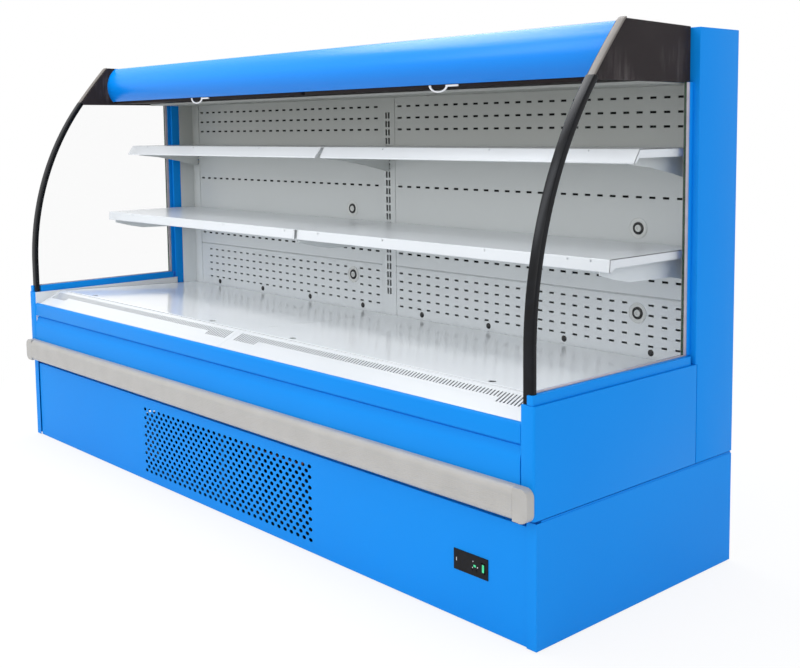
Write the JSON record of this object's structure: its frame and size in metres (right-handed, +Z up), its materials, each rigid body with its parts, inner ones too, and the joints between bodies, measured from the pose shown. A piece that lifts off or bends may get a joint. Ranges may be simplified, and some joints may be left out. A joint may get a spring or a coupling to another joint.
{
  "type": "open multideck display fridge",
  "caption": "Long low multideck display fridge, open in front, with stepped shelves between curved side glasses, a slotted back, a bowed canopy with night blinds and a plain plinth.",
  "frame": {"origin": "on the floor, under the middle of the whole box", "axes": "+X along the length towards the controller end, +Y from the open front to the back, +Z up"},
  "size_m": [2.58, 0.83, 1.436],
  "materials": {
    "painted_blue": "gloss",
    "white_enamel": "semi gloss",
    "white_liner": "semi gloss",
    "frame_paint": "satin",
    "black_metal": "satin",
    "compressor_paint": "gloss",
    "coil_aluminium": "satin",
    "copper": "satin",
    "clear_glass": "clear",
    "trim_plastic": "satin",
    "bumper_plastic": "satin",
    "black_plastic": "satin",
    "grey_plastic": "satin",
    "white_plastic": "satin",
    "gloss_black": "gloss",
    "foot_rubber": "matt",
    "blind_cloth": "woven"
  },
  "bodies": {
    "carcass": {"base_frame": "frame_paint", "levelling_feet": "foot_rubber", "base_front_panel": "painted_blue", "base_side_panel_left": "painted_blue", "base_side_panel_right": "painted_blue", "base_rear_grille": "frame_paint", "compressor": "compressor_paint", "condenser_coil": "coil_aluminium", "condenser_fan_shroud": "frame_paint", "refrigerant_pipes": "copper", "condensate_tray": "grey_plastic", "insulated_tank": "white_liner", "insulated_back_wall": "painted_blue", "evaporator_coil": "coil_aluminium", "evaporator_fan_plate": "white_enamel", "deck_rails": "white_enamel", "return_grilles": "white_enamel", "upper_back_panels": "white_enamel", "lower_back_panels": "white_enamel", "panel_ports": "grey_plastic", "panel_plugs": "black_plastic", "shelf_uprights": "white_enamel", "upper_shelf_left": "white_enamel", "upper_shelf_right": "white_enamel", "lower_shelf_left": "white_enamel", "lower_shelf_right": "white_enamel", "upper_shelf_brackets": "white_enamel", "lower_shelf_brackets": "white_enamel", "end_panel_left": "painted_blue", "end_panel_right": "painted_blue", "rear_column_left": "painted_blue", "rear_column_right": "painted_blue", "glass_sills": "painted_blue", "side_glass_left": "clear_glass", "side_glass_right": "clear_glass", "edge_tube_left": "black_metal", "edge_tube_right": "black_metal", "edge_trims": "trim_plastic", "canopy_side_arms": "black_metal", "fascia_rail": "painted_blue", "fascia_skirt": "painted_blue", "bumper_rail": "bumper_plastic", "bumper_end_caps": "bumper_plastic", "canopy_front": "painted_blue", "roof_panel": "frame_paint", "blind_housing": "black_metal", "ceiling_panel": "white_enamel", "controller_panel": "gloss_black"},
    "condenser_fan": {"condenser_fan": "black_plastic"},
    "evaporator_fan_left": {"evaporator_fan_left": "black_plastic"},
    "evaporator_fan_right": {"evaporator_fan_right": "black_plastic"},
    "deck_left": {"deck_panel_left": "white_enamel"},
    "deck_right": {"deck_panel_right": "white_enamel"},
    "roller_left": {"blind_roller_left": "blind_cloth"},
    "roller_right": {"blind_roller_right": "blind_cloth"},
    "bar_left": {"blind_bar_left": "white_plastic"},
    "bar_right": {"blind_bar_right": "white_plastic"},
    "rocker": {"power_switch": "gloss_black"},
    "key_down": {"controller_key_down": "white_plastic"},
    "key_up": {"controller_key_up": "white_plastic"}
  },
  "joints": [
    {"name": "condenser_fan_spin", "type": "hinge", "parent": "carcass", "child": "condenser_fan", "pos_m": [-0.25, -0.231, 0.146], "axis": [0, 1, 0], "continuous": true},
    {"name": "evaporator_fan_left_spin", "type": "hinge", "parent": "carcass", "child": "evaporator_fan_left", "pos_m": [-0.56, -0.091, 0.434], "axis": [0, 1, 0], "continuous": true},
    {"name": "evaporator_fan_right_spin", "type": "hinge", "parent": "carcass", "child": "evaporator_fan_right", "pos_m": [0.56, -0.091, 0.434], "axis": [0, 1, 0], "continuous": true},
    {"name": "deck_left_lift", "type": "slide", "parent": "carcass", "child": "deck_left", "axis": [0, 0, 1], "range_m": [0, 0.15]},
    {"name": "deck_right_lift", "type": "slide", "parent": "carcass", "child": "deck_right", "axis": [0, 0, 1], "range_m": [0, 0.15]},
    {"name": "blind_left_pull", "type": "slide", "parent": "carcass", "child": "bar_left", "axis": [0, -0.433, -0.9014], "range_m": [0, 0.8], "stiffness_N_per_m": 6, "springref_m": -2.5},
    {"name": "blind_right_pull", "type": "slide", "parent": "carcass", "child": "bar_right", "axis": [0, -0.433, -0.9014], "range_m": [0, 0.8], "stiffness_N_per_m": 6, "springref_m": -2.5},
    {"name": "blind_left_roll", "type": "hinge", "parent": "carcass", "child": "roller_left", "pos_m": [-0.624, 0.049, 1.345], "axis": [1, 0, 0], "range_deg": [0, 1780]},
    {"name": "blind_right_roll", "type": "hinge", "parent": "carcass", "child": "roller_right", "pos_m": [0.624, 0.049, 1.345], "axis": [1, 0, 0], "range_deg": [0, 1780]},
    {"name": "power_switch_rock", "type": "hinge", "parent": "carcass", "child": "rocker", "pos_m": [1.123, -0.378, 0.1495], "axis": [1, 0, 0], "range_deg": [-7, 7]},
    {"name": "key_down_press", "type": "slide", "parent": "carcass", "child": "key_down", "axis": [0, 1, 0], "range_m": [0, 0.0008], "stiffness_N_per_m": 300},
    {"name": "key_up_press", "type": "slide", "parent": "carcass", "child": "key_up", "axis": [0, 1, 0], "range_m": [0, 0.0008], "stiffness_N_per_m": 300}
  ],
  "couplings": [
    {"joint": "blind_left_roll", "follows": "blind_left_pull", "rad_per_m": 38.462},
    {"joint": "blind_right_roll", "follows": "blind_right_pull", "rad_per_m": 38.462}
  ]
}
